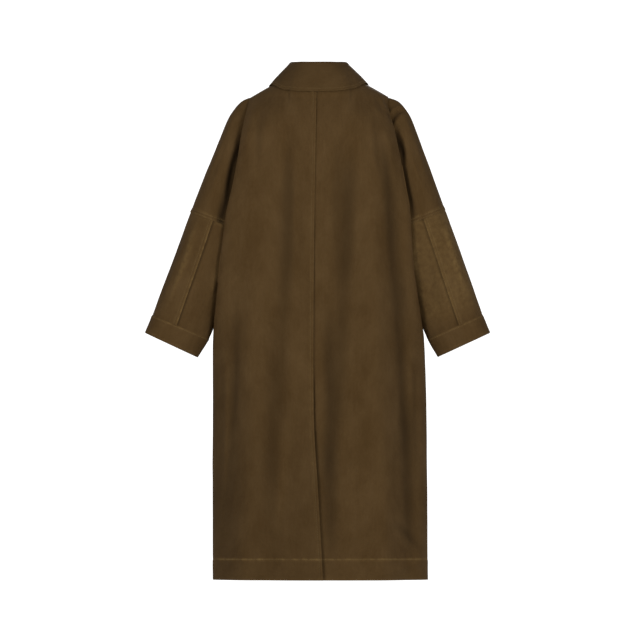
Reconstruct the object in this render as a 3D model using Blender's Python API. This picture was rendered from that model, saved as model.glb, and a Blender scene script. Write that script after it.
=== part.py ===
"""Oversized duster coat in waxed cotton, hollow as worn, seen with its back towards -Y.

Frame: +Z up, +X the wearer's right, the coat's back faces -Y and its front faces +Y.
The origin is the middle of the neck base, level with the tops of the two shoulder seams,
where the wearer's shoulders carry the coat. Sizes below are millimetres; a drop is a
distance below the origin. The meshes are written in metres.
"""

import math

import bmesh
import bpy
import numpy as np
from mathutils import Vector
from mathutils.bvhtree import BVHTree

MM = 0.001
WALL = 2.0
SEAM_GAP = 0.3
ARMHOLE_GAP = 0.5
BACK, FRONT = -1, 1
LEFT, RIGHT = -1, 1

# Length of the coat from the shoulder-neck point to the hem.
HEM_DROP = 1206.0
# The fold edge of the body starts here, at the shoulder tip.
TIP_DROP = 50.0
# The underarm point, where the drop shoulder ends and the side seam begins.
UNDERARM_DROP = 362.0
# Where the centre back seam opens into the vent.
VENT_DROP = 792.0

# Horizontal sections through the body. left and right: half widths to the fold edges.
# back and front: depths at the centre. edge: depth of the fold edge from the side seam's plane.
# notch: how far the cloth returns inwards behind the fold edge, where the arm hangs. It is
# negative at the shoulder tip, where the cloth runs on outwards into the sleeve.
SECTION_COLUMNS = ("drop", "left", "right", "back", "front", "edge", "notch")
SECTIONS = (
    (50, 168, 164, 90, 92, 40, -6),
    (72, 174, 166, 96, 99, 45, -3),
    (94, 178, 169, 100, 104, 48, 11),
    (132, 187, 180, 108, 114, 54, 38),
    (185, 196, 191, 113, 121, 58, 52),
    (264, 211, 206, 116, 126, 60, 72),
    (331, 226, 217, 117, 127, 60, 86),
    (362, 230, 219, 117, 127, 60, 88),
    (398, 235, 221, 117, 126, 59, 80),
    (463, 242, 226, 117, 125, 56, 59),
    (535, 249, 236, 117, 124, 46, 32),
    (583, 254, 243, 117, 124, 36, 16),
    (612, 256, 248, 117, 124, 26, 8),
    (650, 257, 251, 118, 124, 17, 3),
    (700, 257, 253, 119, 124, 13, 2),
    (967, 258, 257, 124, 127, 12, 2),
    (1206, 257, 259, 129, 131, 12, 2),
)
# How pointed the sides of a section are: 1 is an ellipse and 2 a diamond-like lens.
LENS = 1.25

# The neck opening, an oval through the two shoulder-neck points.
NECK_HALF_WIDTH = 74.0
NECK_DEPTH = {BACK: 72.0, FRONT: 84.0}
NECK_DROP = {BACK: 17.0, FRONT: 92.0}
# The shoulder seam from the neck to the shoulder tip, as half width and drop.
SHOULDER_LINE = ((74, 0), (100, 12), (127, 26), (146, 37), (168, 50))
# Depth over which the cloth turns from the shoulder seam to its hanging face.
SHOULDER_ROUND = 110.0

# Long soft folds in the hanging panels. A fold starts at top_x and ends at hem_x on the hem,
# grows between the drops start and full, and rises by height over its half width.
FOLD_COLUMNS = ("top_x", "hem_x", "start", "full", "half_width", "height")
FOLDS = {
    BACK: (
        (-34, 20, 140, 420, 24, 7.0),
        (-68, -128, 110, 420, 26, -8.0),
        (-120, -188, 160, 600, 34, 7.0),
        (72, 20, 180, 460, 27, -9.0),
        (112, 148, 190, 430, 36, 9.0),
        (176, 212, 150, 420, 26, -9.0),
        (-196, -232, 420, 700, 24, -4.0),
    ),
    FRONT: (
        (-70, -95, 170, 460, 26, 7.0),
        (-128, -165, 200, 520, 26, -7.0),
        (84, 62, 180, 480, 24, -7.0),
        (130, 150, 200, 520, 34, 8.0),
        (178, 208, 180, 520, 22, -6.0),
    ),
}

# Centre back line of the back view, as drop and distance from the middle.
CENTRE_BACK = ((17, -8), (400, -14), (792, -15), (1000, -4), (1206, 7))
VENT_UNDERLAP = 45.0
VENT_STEP = 5.4
FRONT_OVERLAP = 19.0
FRONT_STEP = 4.8

# Armhole loop and the egg-shaped sections of the sleeve. depth is the half thickness of the
# tube, and fullness shifts its thickest part towards the outer edge.
RING_COLUMNS = ("outer_x", "outer_drop", "inner_x", "inner_drop", "depth", "fullness")
DROP_SHOULDER = {
    LEFT: (
        (174, 50, 142, 362, 30, 0.25),
        (188, 59, 146, 365, 34, 0.28),
        (206, 78, 149, 369, 38, 0.32),
        (223, 106, 152, 372, 42, 0.34),
        (246, 160, 155, 375, 46, 0.36),
        (275, 232, 158, 378, 50, 0.34),
        (311, 325, 161, 380, 53, 0.30),
    ),
    RIGHT: (
        (170, 50, 131, 362, 30, 0.25),
        (187, 58, 136, 365, 34, 0.28),
        (204, 75, 140, 368, 38, 0.32),
        (220, 102, 144, 371, 42, 0.34),
        (241, 156, 148, 374, 46, 0.36),
        (267, 228, 151, 376, 50, 0.34),
        (301, 320, 154, 378, 53, 0.30),
    ),
}
SLEEVE = {
    LEFT: (
        (311.1, 325.3, 161.1, 380.3, 53, 0.30),
        (340, 405, 195, 462, 52, 0.24),
        (372, 490, 231, 547, 49, 0.18),
        (402, 571, 266, 628, 45, 0.12),
    ),
    RIGHT: (
        (301.1, 320.3, 154.1, 378.3, 53, 0.30),
        (331, 400, 187, 461, 52, 0.24),
        (361, 487, 222, 548, 49, 0.18),
        (390, 570, 258, 629, 45, 0.12),
    ),
}
CUFF = {
    LEFT: (
        (402.2, 571.3, 266.2, 628.3, 45, 0.12),
        (420, 614, 294, 673, 43, 0.10),
    ),
    RIGHT: (
        (390.2, 570.3, 258.2, 629.3, 45, 0.12),
        (408, 614, 283, 672, 43, 0.10),
    ),
}
# The two seams of the sleeve, as turns round the tube from its outer edge.
SLEEVE_SEAM_DEG = 80.0
CUFF_PROUD = 0.6

# The folded collar, from centre back (share 0) to its front end (share 1): the drop of the fold
# line, and where the free edge lies. Its seam stands a little inside the neck opening.
COLLAR_COLUMNS = ("share", "roll_drop", "leaf_x", "leaf_y", "leaf_drop")
COLLAR = (
    (0.00, -37, 0, -94, 34),
    (0.18, -37, 56, -84, 31),
    (0.34, -36, 92, -52, 25),
    (0.48, -31, 114, -8, 16),
    (0.64, -14, 118, 44, 40),
    (0.82, 28, 100, 92, 92),
    (1.00, 62, 62, 118, 146),
)
COLLAR_END_DEG = 172.0
COLLAR_INSET = 3.0
COLLAR_RISE = 0.5
COLLAR_ROUND = 4.0
COLLAR_CLEAR = 6.0

BUTTON_RADIUS = 11.5
BUTTON_THICK = 4.0
BUTTON_CLEAR = 0.9
BUTTON_DROPS = (150, 315, 480, 645, 810)

# Faces along each grid. The armhole loop has two for each of its body rows.
LAP_COLUMNS = 3
FACE_COLUMNS = 13
RETURN_COLUMNS = 3
LOOP_ROWS = 12
LOWER_ROWS = 15
SLEEVE_ROWS = 8
CUFF_ROWS = 2
FAN_ROWS = 7
COLLAR_SPAN = 30

WAXED_COTTON = ("waxed_cotton", (0.085, 0.055, 0.022, 1.0), 0.55, 0.0)
HORN = ("horn_button", (0.030, 0.018, 0.010, 1.0), 0.35, 0.0)


def column(columns, rows, name):
    """One named column of a table, as an array."""
    return np.array([row[columns.index(name)] for row in rows], float)


def smooth(x, xs, ys):
    """A smooth curve through the points xs, ys, read at x. It doesn't swing past them."""
    xs, ys = np.asarray(xs, float), np.asarray(ys, float)
    steps = np.abs(np.diff(ys) / np.diff(xs))
    most = 3 * np.minimum(np.append(steps, steps[-1]), np.insert(steps, 0, steps[0]))
    slopes = np.clip(np.gradient(ys, xs), -most, most)
    x = np.clip(x, xs[0], xs[-1])
    i = np.clip(np.searchsorted(xs, x) - 1, 0, len(xs) - 2)
    step = xs[i + 1] - xs[i]
    t = (x - xs[i]) / step
    return (
        (1 + 2 * t) * (1 - t) ** 2 * ys[i]
        + t * (1 - t) ** 2 * step * slopes[i]
        + t * t * (3 - 2 * t) * ys[i + 1]
        + t * t * (t - 1) * step * slopes[i + 1]
    )


def section(name, drop):
    """A size of the body's section at a drop."""
    return smooth(
        drop,
        column(SECTION_COLUMNS, SECTIONS, "drop"),
        column(SECTION_COLUMNS, SECTIONS, name),
    )


def ramp(x, start, full):
    """0 before start, 1 after full, and smooth between them."""
    t = np.clip((x - start) / (full - start), 0, 1)
    return t * t * (3 - 2 * t)


def round_over(below_top):
    """How far the cloth has turned from the shoulder seam to its hanging face."""
    t = np.clip(1 - below_top / SHOULDER_ROUND, 0, 1)
    return np.sqrt(1 - t * t)


def top_line(face, x):
    """Drop and depth of a panel's top edge: the neckline, then the shoulder seam."""
    half = np.abs(x)
    inside = np.clip(1 - (half / NECK_HALF_WIDTH) ** 2, 0, 1)
    shoulder = smooth(half, *zip(*SHOULDER_LINE))
    drop = np.where(half < NECK_HALF_WIDTH, NECK_DROP[face] * inside, shoulder)
    depth = np.maximum(NECK_DEPTH[face] * np.sqrt(inside), SEAM_GAP / 2)
    return drop, face * depth


def folds(face, x, drop):
    """How far the long folds lift the cloth from its plain section."""
    lift = np.zeros(np.broadcast(x, drop).shape)
    for row in FOLDS[face]:
        fold = dict(zip(FOLD_COLUMNS, row))
        line = fold["top_x"] + (fold["hem_x"] - fold["top_x"]) * drop / HEM_DROP
        spread = fold["half_width"] * (0.75 + 0.5 * drop / HEM_DROP)
        bump = np.exp(-(((x - line) / spread) ** 2))
        lift = lift + fold["height"] * bump * ramp(drop, fold["start"], fold["full"])
    return lift


def arm_loop(side, drop):
    """Half depth of the armhole at a drop."""
    loop = dict(zip(RING_COLUMNS, DROP_SHOULDER[side][0]))
    middle = (TIP_DROP + UNDERARM_DROP) / 2
    along = np.clip((middle - drop) / (UNDERARM_DROP - middle), -1, 1)
    return loop["depth"] * np.sqrt(1 - along**2) * (1 + loop["fullness"] * along)


def face_point(face, side, half_x, below):
    """A point of a body panel's hanging face.

    half_x is the share of the half width, from 0 at the centre to 1 at the fold edge, and
    below is the share of the way from the top edge to the hem.
    """
    width_name = "left" if side == LEFT else "right"
    turn = np.arcsin(np.clip(half_x, -1, 1))
    top_x = section(width_name, TIP_DROP) * half_x
    top, top_y = top_line(face, top_x)
    drop = top + (HEM_DROP - top) * below
    x = side * section(width_name, drop) * half_x
    edge = section("edge", drop)
    deep = section("back" if face == BACK else "front", drop)
    hang = edge + (deep - edge) * np.abs(np.cos(turn)) ** LENS
    fade = np.clip(1.25 * np.cos(turn), 0, 1) ** 0.5
    hang = hang + folds(face, x, drop) * fade
    y = top_y + (face * hang - top_y) * round_over(drop - top)
    return np.stack([x, y, -drop], axis=-1)


def return_point(face, side, turn, below):
    """A point of the cloth that returns behind the fold edge, turn 0 at the edge and 1 inside."""
    width_name = "left" if side == LEFT else "right"
    drop = TIP_DROP + (HEM_DROP - TIP_DROP) * below
    angle = turn * math.pi / 2
    edge = np.maximum(section("edge", drop) * round_over(drop - TIP_DROP), SEAM_GAP / 2)
    inner = np.clip(arm_loop(side, drop), SEAM_GAP / 2, np.maximum(0.9 * edge, SEAM_GAP / 2))
    notch = section("notch", drop)
    # A deep notch turns sharply behind the fold edge, and a slight one runs straight to the seam.
    sharp = ramp(notch, 4, 34)
    x = section(width_name, drop) - notch * (
        sharp * np.sin(angle) + (1 - sharp) * (1 - np.cos(angle))
    )
    y = inner + (edge - inner) * np.cos(angle)
    return np.stack([side * x, face * y, -drop], axis=-1)


def loop_drops():
    """Drops of the rows beside the armhole, at equal turns of its loop."""
    turns = np.linspace(0, math.pi, LOOP_ROWS + 1)
    return TIP_DROP + (UNDERARM_DROP - TIP_DROP) * (1 - np.cos(turns)) / 2


def row_shares():
    """Shares of the way down a panel, from its top edge to the hem."""
    lower = np.linspace(UNDERARM_DROP, HEM_DROP, LOWER_ROWS + 1)[1:]
    return (np.concatenate([loop_drops(), lower]) - TIP_DROP) / (HEM_DROP - TIP_DROP)


def panel_points(face, side, first_x, lap_step):
    """The outer points of a body panel: rows down the panel, columns from its centre edge.

    first_x gives the centre edge's distance from the middle for a drop, towards this side.
    The first columns are lap_step apart, so that two lapped panels have theirs at one place.
    """
    width_name = "left" if side == LEFT else "right"
    rows = []
    for below in row_shares():
        drop = NECK_DROP[face] + (HEM_DROP - NECK_DROP[face]) * below
        width = section(width_name, drop)
        lap = np.arcsin((first_x(drop) + lap_step * np.arange(LAP_COLUMNS)) / width)
        last = np.arcsin((first_x(drop) + lap_step * LAP_COLUMNS) / width)
        turns = np.concatenate([lap, np.linspace(last, math.pi / 2, FACE_COLUMNS + 1)])
        outside = face_point(face, side, np.sin(turns), np.full(len(turns), below))
        shares = np.linspace(0, 1, RETURN_COLUMNS + 1)[1:]
        inside = return_point(face, side, shares, np.full(len(shares), below))
        rows.append(np.concatenate([outside, inside]))
    return np.array(rows)


def tangents(grid, axis):
    """Directions along one axis of a grid, halfway between the two neighbours' at a bend."""
    steps = np.diff(np.moveaxis(grid, axis, 0), axis=0)
    ways = steps / np.maximum(np.linalg.norm(steps, axis=-1, keepdims=True), 1e-6)
    ways = np.concatenate([ways[:1], ways[:-1] + ways[1:], ways[-1:]])
    return np.moveaxis(ways, 0, axis)


def other_side(grid, outward):
    """The grid one wall thickness further in. outward is 1 where down x across points out."""
    cross = np.cross(tangents(grid, 0), tangents(grid, 1))
    cross /= np.maximum(np.linalg.norm(cross, axis=-1, keepdims=True), 1e-9)
    return grid - outward * WALL * cross


def material(name, colour, roughness, metallic):
    """A Principled BSDF material, made once."""
    made = bpy.data.materials.get(name)
    if made:
        return made
    made = bpy.data.materials.new(name)
    made.use_nodes = True
    shader = made.node_tree.nodes["Principled BSDF"]
    shader.inputs["Base Color"].default_value = colour
    shader.inputs["Roughness"].default_value = roughness
    shader.inputs["Metallic"].default_value = metallic
    return made


def add_object(name, points, faces, finish):
    """An object from points in millimetres, closed and with its faces turned outwards."""
    mesh = bpy.data.meshes.new(name)
    mesh.from_pydata([[c * MM for c in p] for p in points], [], faces)
    shape = bmesh.new()
    shape.from_mesh(mesh)
    bmesh.ops.recalc_face_normals(shape, faces=shape.faces)
    bmesh.ops.triangulate(shape, faces=shape.faces)
    shape.to_mesh(mesh)
    shape.free()
    mesh.shade_smooth()
    mesh.set_sharp_from_angle(angle=math.radians(50))
    mesh.materials.append(material(*finish))
    made = bpy.data.objects.new(name, mesh)
    bpy.context.scene.collection.objects.link(made)
    return made


def cloth_wall(name, outer, inner, closed=False, finish=WAXED_COTTON):
    """A closed wall between two grids of points. closed joins the last column to the first."""
    rows, columns = outer.shape[:2]
    points = np.concatenate([outer.reshape(-1, 3), inner.reshape(-1, 3)])
    back = rows * columns
    faces = []
    for r in range(rows - 1):
        for c in range(columns if closed else columns - 1):
            n = (c + 1) % columns
            quad = (r * columns + c, r * columns + n, (r + 1) * columns + n, (r + 1) * columns + c)
            faces.append(quad)
            faces.append(tuple(back + q for q in reversed(quad)))
    for r in (0, rows - 1):
        for c in range(columns if closed else columns - 1):
            a, b = r * columns + c, r * columns + (c + 1) % columns
            faces.append((a, b, back + b, back + a))
    for c in () if closed else (0, columns - 1):
        for r in range(rows - 1):
            a, b = r * columns + c, (r + 1) * columns + c
            faces.append((a, b, back + b, back + a))
    return add_object(name, points, faces, finish)


def body_panel(name, face, side, outer):
    """A body panel. Along its seams the inner points keep to their own side of the seam."""
    inner = other_side(outer, -face * side)
    inner[:, 0, 0] = outer[:, 0, 0]
    inner[LOOP_ROWS:, -1, 1] = outer[LOOP_ROWS:, -1, 1]
    inner[0, :, 1] = outer[0, :, 1]
    inner[-1, :, 2] = outer[-1, :, 2]
    cloth_wall(name, outer, inner)
    return outer


def centre_back(drop):
    """Distance of the centre back seam from the middle, towards the wearer's right."""
    return smooth(drop, *zip(*CENTRE_BACK))


def build_back():
    """Two back panels, sewn down the centre back and lapped at the vent."""
    step = VENT_UNDERLAP / LAP_COLUMNS
    left = panel_points(BACK, LEFT, lambda drop: -centre_back(drop) + SEAM_GAP / 2, step)

    def right_start(drop):
        lap = VENT_UNDERLAP * ramp(drop, VENT_DROP, VENT_DROP + 60)
        return centre_back(drop) + SEAM_GAP / 2 - lap

    right = panel_points(BACK, RIGHT, right_start, step)
    drop = -right[..., 2]
    past_seam = right[..., 0] - centre_back(drop)
    sunk = ramp(drop, VENT_DROP - 110, VENT_DROP - 8) * (1 - ramp(past_seam, 3, 50))
    right[..., 1] += VENT_STEP * sunk
    return [
        body_panel("back_left", BACK, LEFT, left),
        body_panel("back_right", BACK, RIGHT, right),
    ]


def build_front():
    """Two fronts, the wearer's right lapped over the left at the centre."""
    left = panel_points(FRONT, LEFT, lambda drop: -FRONT_OVERLAP, FRONT_OVERLAP)
    right = panel_points(FRONT, RIGHT, lambda drop: -FRONT_OVERLAP, FRONT_OVERLAP)
    lifted = 1 - ramp(right[..., 0], FRONT_OVERLAP + 3, 3.2 * FRONT_OVERLAP)
    right[..., 1] += FRONT_STEP * lifted
    return [
        body_panel("front_left", FRONT, LEFT, left),
        body_panel("front_right", FRONT, RIGHT, right),
    ]


def ring(side, row, angles, inset):
    """One section of the sleeve, from its outer edge round by the back, moved in by inset."""
    size = dict(zip(RING_COLUMNS, row))
    outer = np.array([side * size["outer_x"], 0, -size["outer_drop"]])
    inner = np.array([side * size["inner_x"], 0, -size["inner_drop"]])
    middle = (outer + inner) / 2
    reach = np.linalg.norm(outer - inner) / 2
    axes = np.array([(outer - inner) / (2 * reach), (0, -1, 0)])
    cos, sin = np.cos(angles), np.sin(angles)
    depth, fullness = size["depth"], size["fullness"]
    flat = np.stack([reach * cos, depth * sin * (1 + fullness * cos)], axis=-1)
    way = np.stack([depth * (cos + fullness * np.cos(2 * angles)), reach * sin], axis=-1)
    way /= np.linalg.norm(way, axis=-1, keepdims=True)
    return middle + (flat - inset * way) @ axes


def tube_points(side, table, angles, rows, inset=0.0):
    """Rings read smoothly from a table of sections."""
    steps = np.arange(len(table))
    shares = np.linspace(0, len(table) - 1, rows + 1)
    read = [smooth(shares, steps, column(RING_COLUMNS, table, name)) for name in RING_COLUMNS]
    return np.array([ring(side, row, angles, inset) for row in zip(*read)])


def full_turn():
    """Angles all round a tube, which meet the armhole at the body's rows."""
    return np.linspace(0, 2 * math.pi, 2 * LOOP_ROWS, endpoint=False)


def armhole_points(side):
    """The body's armhole edge as a loop, from the shoulder tip down by the back."""
    shares = (loop_drops() - TIP_DROP) / (HEM_DROP - TIP_DROP)
    back = return_point(BACK, side, np.ones(len(shares)), shares)
    front = return_point(FRONT, side, np.ones(len(shares)), shares)
    loop = np.concatenate([back, front[-2:0:-1]])
    loop[[0, LOOP_ROWS], 1] = 0
    return loop


def build_drop_shoulder(side, name):
    """The part of the sleeve that is cut in one with the body, from the armhole fold to the seam."""
    outer = tube_points(side, DROP_SHOULDER[side], full_turn(), FAN_ROWS)
    inner = tube_points(side, DROP_SHOULDER[side], full_turn(), FAN_ROWS, WALL)
    follow = armhole_points(side) + np.array([side * ARMHOLE_GAP, 0, 0]) - outer[0]
    for row, share in enumerate((1.0, 0.6, 0.25)):
        outer[row] += follow * share
        inner[row] += follow * share
    inner[0, :, 0] = outer[0, :, 0]
    cloth_wall(f"drop_shoulder_{name}", outer, inner, closed=True)


def build_sleeve(side, name):
    """The lower sleeve in two pieces, top and under, joined by a back and a front seam."""
    seam = math.radians(SLEEVE_SEAM_DEG)
    gap = math.radians(0.15)
    spans = {
        "top": np.linspace(-seam + gap, seam - gap, 12),
        "under": np.linspace(seam + gap, 2 * math.pi - seam - gap, 13),
    }
    for piece, angles in spans.items():
        outer = tube_points(side, SLEEVE[side], angles, SLEEVE_ROWS)
        inner = tube_points(side, SLEEVE[side], angles, SLEEVE_ROWS, WALL)
        cloth_wall(f"{piece}_sleeve_{name}", outer, inner)


def build_cuff(side, name):
    """The turned cuff band round the sleeve's end."""
    outer = tube_points(side, CUFF[side], full_turn(), CUFF_ROWS, -CUFF_PROUD)
    inner = tube_points(side, CUFF[side], full_turn(), CUFF_ROWS, WALL)
    cloth_wall(f"cuff_{name}", outer, inner, closed=True)


def body_skin(panels):
    """The outer surface of the body panels, to lay the collar and the buttons on."""
    points, faces = [], []
    for panel, flip in zip(panels, (False, True, True, False)):
        rows, columns = panel.shape[:2]
        first = len(points)
        points += [Vector(p) for p in panel.reshape(-1, 3)]
        for r in range(rows - 1):
            for c in range(columns - 1):
                a = first + r * columns + c
                quad = (a, a + 1, a + columns + 1, a + columns)
                faces.append(quad[::-1] if flip else quad)
    return BVHTree.FromPolygons(points, faces)


def laid_on(skin, point, clear, exactly=False):
    """The point moved out of the cloth until it is clear of it, or to just that distance."""
    point = Vector(point)
    for _ in range(4):
        spot, way, _, _ = skin.find_nearest(point)
        short = clear - (point - spot).dot(way)
        if short > 0 or exactly:
            point = point + way * short
    return np.array(point)


def build_collar(skin):
    """A folded collar in one strip: up from the neck seam, over the roll and down to its edge."""
    known = column(COLLAR_COLUMNS, COLLAR, "share")
    rows = []
    for share in np.linspace(-1, 1, COLLAR_SPAN + 1):
        size = {
            name: float(smooth(abs(share), known, column(COLLAR_COLUMNS, COLLAR, name)))
            for name in COLLAR_COLUMNS[1:]
        }
        side = -1 if share < 0 else 1
        turn = math.radians(COLLAR_END_DEG) * abs(share)
        face = BACK if turn < math.pi / 2 else FRONT
        seam = np.array([
            side * (NECK_HALF_WIDTH - COLLAR_INSET) * math.sin(turn),
            -(NECK_DEPTH[face] - COLLAR_INSET) * math.cos(turn),
            COLLAR_RISE - NECK_DROP[face] * math.cos(turn) ** 2,
        ])
        roll = seam * (0.95, 0.95, 0)
        roll[2] = -size["roll_drop"]
        leaf = (side * size["leaf_x"], size["leaf_y"], -size["leaf_drop"])
        rows.append(collar_profile(skin, seam, roll, laid_on(skin, leaf, COLLAR_CLEAR, True)))
    grid = np.array(rows)
    cloth_wall("collar", grid, other_side(grid, -1))


def collar_profile(skin, seam, roll, leaf):
    """Points up the stand, round the roll and down the fall to the leaf's edge."""
    outwards = leaf - roll
    outwards[2] = 0
    outwards /= np.linalg.norm(outwards)
    low = np.array([0, 0, COLLAR_ROUND])
    stand_top = roll - low
    crest = roll + outwards * COLLAR_ROUND
    fall_top = roll + outwards * 2 * COLLAR_ROUND - low
    fall = [fall_top + (leaf - fall_top) * t + outwards * 10 * t * (1 - t) for t in (0.15, 0.35, 0.6, 0.8)]
    clear = [laid_on(skin, point, COLLAR_CLEAR + 2) for point in fall]
    return [seam, (seam + stand_top) / 2, stand_top, crest, fall_top, *clear, leaf]


def build_button(index, drop, skin):
    """A round button on the right front, flat on the cloth."""
    spot, way, _, _ = skin.ray_cast(Vector((0, 1000, -drop)), Vector((0, -1, 0)))
    bpy.ops.mesh.primitive_cylinder_add(
        vertices=20, radius=BUTTON_RADIUS * MM, depth=BUTTON_THICK * MM
    )
    button = bpy.context.object
    button.name = f"button_{index}"
    button.rotation_euler = way.to_track_quat("Z", "Y").to_euler()
    button.location = (spot + way * (BUTTON_THICK / 2 + BUTTON_CLEAR)) * MM
    bevel = button.modifiers.new("rim", "BEVEL")
    bevel.width = 0.8 * MM
    bevel.segments = 1
    bevel.limit_method = "ANGLE"
    button.data.materials.append(material(*HORN))


def main():
    for old in list(bpy.data.objects):
        bpy.data.objects.remove(old)
    skin = body_skin(build_back() + build_front())
    for side, name in ((LEFT, "left"), (RIGHT, "right")):
        build_drop_shoulder(side, name)
        build_sleeve(side, name)
        build_cuff(side, name)
    build_collar(skin)
    for index, drop in enumerate(BUTTON_DROPS, start=1):
        build_button(index, drop, skin)


main()
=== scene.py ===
"""Duster coat in waxed cotton, hollow as worn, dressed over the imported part.

The frame is the part's: +Z up, +X the wearer's right, the back faces -Y, and the origin is the
middle of the neck base. Sizes below are millimetres and meshes are written in metres. A drop is
a distance below the origin. Every piece of cloth is a fine shell on its solid's form.
"""

import math

import bmesh
import bpy
import numpy as np
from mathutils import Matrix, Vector, noise
from mathutils.bvhtree import BVHTree


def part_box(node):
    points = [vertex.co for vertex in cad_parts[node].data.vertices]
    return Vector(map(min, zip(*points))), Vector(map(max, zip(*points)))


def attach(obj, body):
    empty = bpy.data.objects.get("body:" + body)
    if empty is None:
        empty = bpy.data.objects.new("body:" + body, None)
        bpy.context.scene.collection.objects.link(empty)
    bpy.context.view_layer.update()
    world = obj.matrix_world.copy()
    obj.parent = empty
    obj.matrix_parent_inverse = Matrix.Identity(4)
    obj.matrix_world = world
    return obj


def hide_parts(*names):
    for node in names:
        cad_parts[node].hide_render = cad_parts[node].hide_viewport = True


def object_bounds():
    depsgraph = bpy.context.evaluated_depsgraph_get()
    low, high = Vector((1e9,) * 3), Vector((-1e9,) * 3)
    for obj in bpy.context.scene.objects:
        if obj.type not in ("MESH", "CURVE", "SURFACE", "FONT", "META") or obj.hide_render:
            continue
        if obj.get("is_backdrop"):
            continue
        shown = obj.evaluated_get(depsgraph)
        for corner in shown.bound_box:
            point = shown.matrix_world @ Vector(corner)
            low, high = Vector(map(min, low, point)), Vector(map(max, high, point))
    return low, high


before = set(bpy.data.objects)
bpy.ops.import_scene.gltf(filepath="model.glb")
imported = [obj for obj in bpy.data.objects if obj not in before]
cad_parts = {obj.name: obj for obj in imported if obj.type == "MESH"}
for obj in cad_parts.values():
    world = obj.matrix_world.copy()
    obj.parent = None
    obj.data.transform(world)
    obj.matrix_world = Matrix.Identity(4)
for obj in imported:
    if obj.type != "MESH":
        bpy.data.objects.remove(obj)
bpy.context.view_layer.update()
bpy.ops.object.select_all(action="DESELECT")

# ==== Back: two panels of waxed cotton ==========================================================
# The left panel laps over the right down the centre back in a felled seam, and the same edges run
# on as a lapped vent below it. The cloth is a dense olive-brown cotton proofed with wax: matte,
# clouded where the wax lies thicker, and rubbed paler along its seams and edges.
MM = 0.001
BACK, FRONT = -1, 1
LEFT, RIGHT = -1, 1
FACE_NAMES = {BACK: "back", FRONT: "front"}
SIDE_NAMES = {LEFT: "left", RIGHT: "right"}
HEM_DROP = 1206.0
SHOULDER_TIP_DROP = 50.0
UNDERARM_DROP = 362.0
ARMHOLE_HALF_DEPTH = 30.0
HEM_DEPTH = 50.0
CLOTH_THICK = 0.9

# Sections through the body: half widths to the fold edges, depths at the centre back and front,
# depth of the fold edge, and how far the cloth returns behind it to the armhole or side seam.
SECTION_COLUMNS = ("drop", "left", "right", "back", "front", "edge", "notch")
SECTIONS = (
    (50, 168, 164, 90, 92, 40, -3),
    (62, 171, 162, 93, 95, 43, 4),
    (91, 178, 169, 100, 104, 48, 20),
    (132, 187, 180, 108, 114, 54, 38),
    (185, 196, 191, 113, 121, 58, 52),
    (264, 211, 206, 116, 126, 60, 72),
    (331, 226, 217, 117, 127, 60, 86),
    (362, 230, 219, 117, 127, 60, 88),
    (398, 235, 221, 117, 126, 59, 80),
    (463, 242, 226, 117, 125, 56, 59),
    (535, 249, 236, 117, 124, 46, 32),
    (583, 254, 243, 117, 124, 36, 16),
    (612, 256, 248, 117, 124, 26, 8),
    (650, 257, 251, 118, 124, 17, 3),
    (700, 257, 253, 119, 124, 13, 2),
    (967, 258, 257, 124, 127, 12, 2),
    (1206, 257, 259, 129, 131, 12, 2),
)
LENS = 1.25
NECK_HALF_WIDTH = 74.0
NECK_DEPTH = {BACK: 72.0, FRONT: 84.0}
NECK_DROP = {BACK: 17.0, FRONT: 92.0}
SHOULDER_LINE = ((74, 0), (100, 12), (127, 26), (146, 37), (168, 50))
SHOULDER_ROUND = 110.0

# Long soft flutes that hang from the shoulders and widen towards the hem.
FOLD_COLUMNS = ("top_x", "hem_x", "start", "full", "half_width", "height")
FOLDS = {
    BACK: (
        (-34, 20, 140, 420, 24, 7.0),
        (-68, -128, 110, 420, 26, -8.0),
        (-120, -188, 160, 600, 34, 7.0),
        (72, 20, 180, 460, 27, -9.0),
        (112, 148, 190, 430, 36, 9.0),
        (176, 212, 150, 420, 26, -9.0),
        (-196, -232, 420, 700, 24, -4.0),
    ),
    FRONT: (
        (-70, -95, 170, 460, 26, 7.0),
        (-128, -165, 200, 520, 26, -7.0),
        (84, 62, 180, 480, 24, -7.0),
        (130, 150, 200, 520, 34, 8.0),
        (178, 208, 180, 520, 22, -6.0),
    ),
}

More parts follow.
